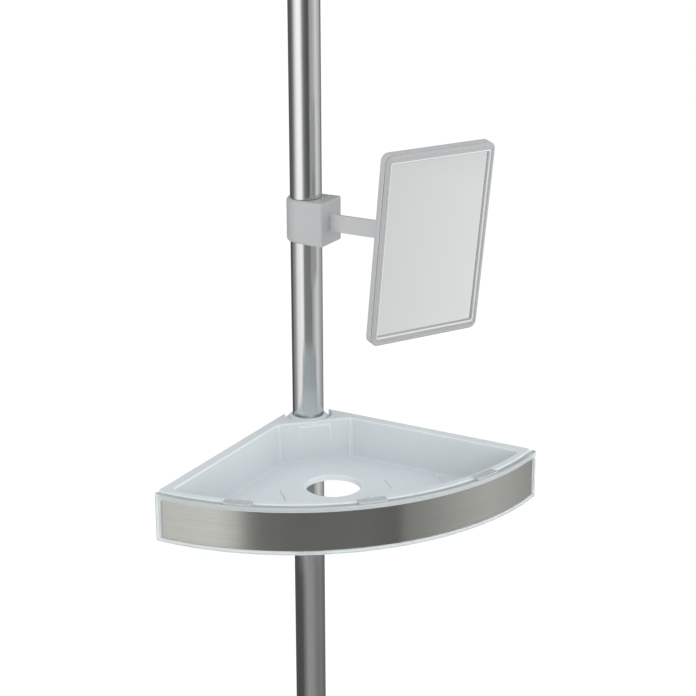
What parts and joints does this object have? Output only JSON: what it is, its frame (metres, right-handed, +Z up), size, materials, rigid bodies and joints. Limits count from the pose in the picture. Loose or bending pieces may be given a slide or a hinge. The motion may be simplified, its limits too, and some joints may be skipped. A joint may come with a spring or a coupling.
{
  "type": "shower caddy",
  "caption": "Corner shower caddy: a quarter-round tray with a steel-faced front and a swivelling shaving mirror on a floor-to-ceiling telescopic pole.",
  "frame": {"origin": "centre of the foot pad's underside, on the pole's axis", "axes": "+Z up along the pole, the tray's middle faces -Y, the mirror is to the right at +X"},
  "size_m": [0.2992, 0.2167, 1.557],
  "materials": {
    "pole_steel": "satin-polished tube with fine lengthwise draw lines",
    "extension_steel": "polished tube",
    "spring_steel": "oiled spring wire",
    "screw_steel": "zinc-plated",
    "brushed_band": "brushed along its length",
    "frosted_plastic": "frosted translucent, faintly blue",
    "clear_plastic": "clear moulded strip with bright edges",
    "grey_plastic": "fine-grained moulding",
    "inner_plastic": "natural white nylon",
    "clamp_plastic": "satin silver-grey moulding",
    "arm_plastic": "satin light grey moulding",
    "mirror_shell": "satin silver moulding",
    "mirror_frame": "satin silver moulding, brighter edges",
    "mirror_glass": "silvered, plain",
    "foam": "closed-cell backing",
    "pad_rubber": "ribbed, non-slip"
  },
  "bodies": {
    "pole": {"foot_pad": "pad_rubber", "foot_screw": "screw_steel", "foot_cup": "grey_plastic", "foot_plug": "inner_plastic", "outer_tube": "pole_steel", "lock_body": "grey_plastic", "lock_collet": "inner_plastic"},
    "lock_nut": {"lock_nut": "grey_plastic"},
    "extension": {"inner_tube": "extension_steel", "guide_bush": "inner_plastic", "spring_seat": "inner_plastic", "tension_spring": "spring_steel", "end_bush": "inner_plastic"},
    "ceiling_end": {"plunger": "grey_plastic", "ceiling_cup": "grey_plastic", "ceiling_screw": "screw_steel", "ceiling_pad": "pad_rubber"},
    "tray_grip": {"tray_collet_left": "inner_plastic", "tray_collet_right": "inner_plastic"},
    "tray": {"tray_body": "frosted_plastic", "front_carrier": "clear_plastic", "steel_band": "brushed_band"},
    "mirror_grip": {"clamp_liner": "inner_plastic"},
    "mirror_clamp": {"clamp_body": "clamp_plastic", "mirror_arm": "arm_plastic", "arm_screw": "screw_steel"},
    "mirror_knuckle": {"knuckle": "clamp_plastic", "pan_pin": "screw_steel"},
    "mirror": {"tilt_pin": "screw_steel", "mirror_bracket": "clamp_plastic", "bracket_screws": "screw_steel", "mirror_back": "mirror_shell", "mirror_pad": "foam", "mirror_glass": "mirror_glass", "mirror_bezel": "mirror_frame"}
  },
  "joints": [
    {"name": "lock_twist", "type": "hinge", "parent": "pole", "child": "lock_nut", "pos_m": [0, 0, 1.19], "axis": [0, 0, 1], "range_deg": [0, 120]},
    {"name": "pole_extension", "type": "slide", "parent": "pole", "child": "extension", "axis": [0, 0, 1], "range_m": [-0.2, 0.7]},
    {"name": "ceiling_spring", "type": "slide", "parent": "extension", "child": "ceiling_end", "axis": [0, 0, 1], "range_m": [-0.03, 0], "stiffness_N_per_m": 3000, "springref_m": 0.01, "deforming": ["tension_spring"]},
    {"name": "tray_height", "type": "slide", "parent": "pole", "child": "tray_grip", "axis": [0, 0, 1], "range_m": [-0.3, 0.03]},
    {"name": "tray_swivel", "type": "hinge", "parent": "tray_grip", "child": "tray", "pos_m": [0, 0, 0.65], "axis": [0, 0, 1], "range_deg": [-90, 90]},
    {"name": "mirror_height", "type": "slide", "parent": "pole", "child": "mirror_grip", "axis": [0, 0, 1], "range_m": [-0.02, 0.3]},
    {"name": "mirror_swing", "type": "hinge", "parent": "mirror_grip", "child": "mirror_clamp", "pos_m": [0, 0, 0.8125], "axis": [0, 0, 1], "range_deg": [-90, 90]},
    {"name": "mirror_pan", "type": "hinge", "parent": "mirror_clamp", "child": "mirror_knuckle", "pos_m": [0.06727, -0.06821, 0.8125], "axis": [0, 0, 1], "range_deg": [-55, 115]},
    {"name": "mirror_tilt", "type": "hinge", "parent": "mirror_knuckle", "child": "mirror", "pos_m": [0.07017, -0.07882, 0.8125], "axis": [0.9646, 0.2639, 0], "range_deg": [-43, 32]}
  ]
}
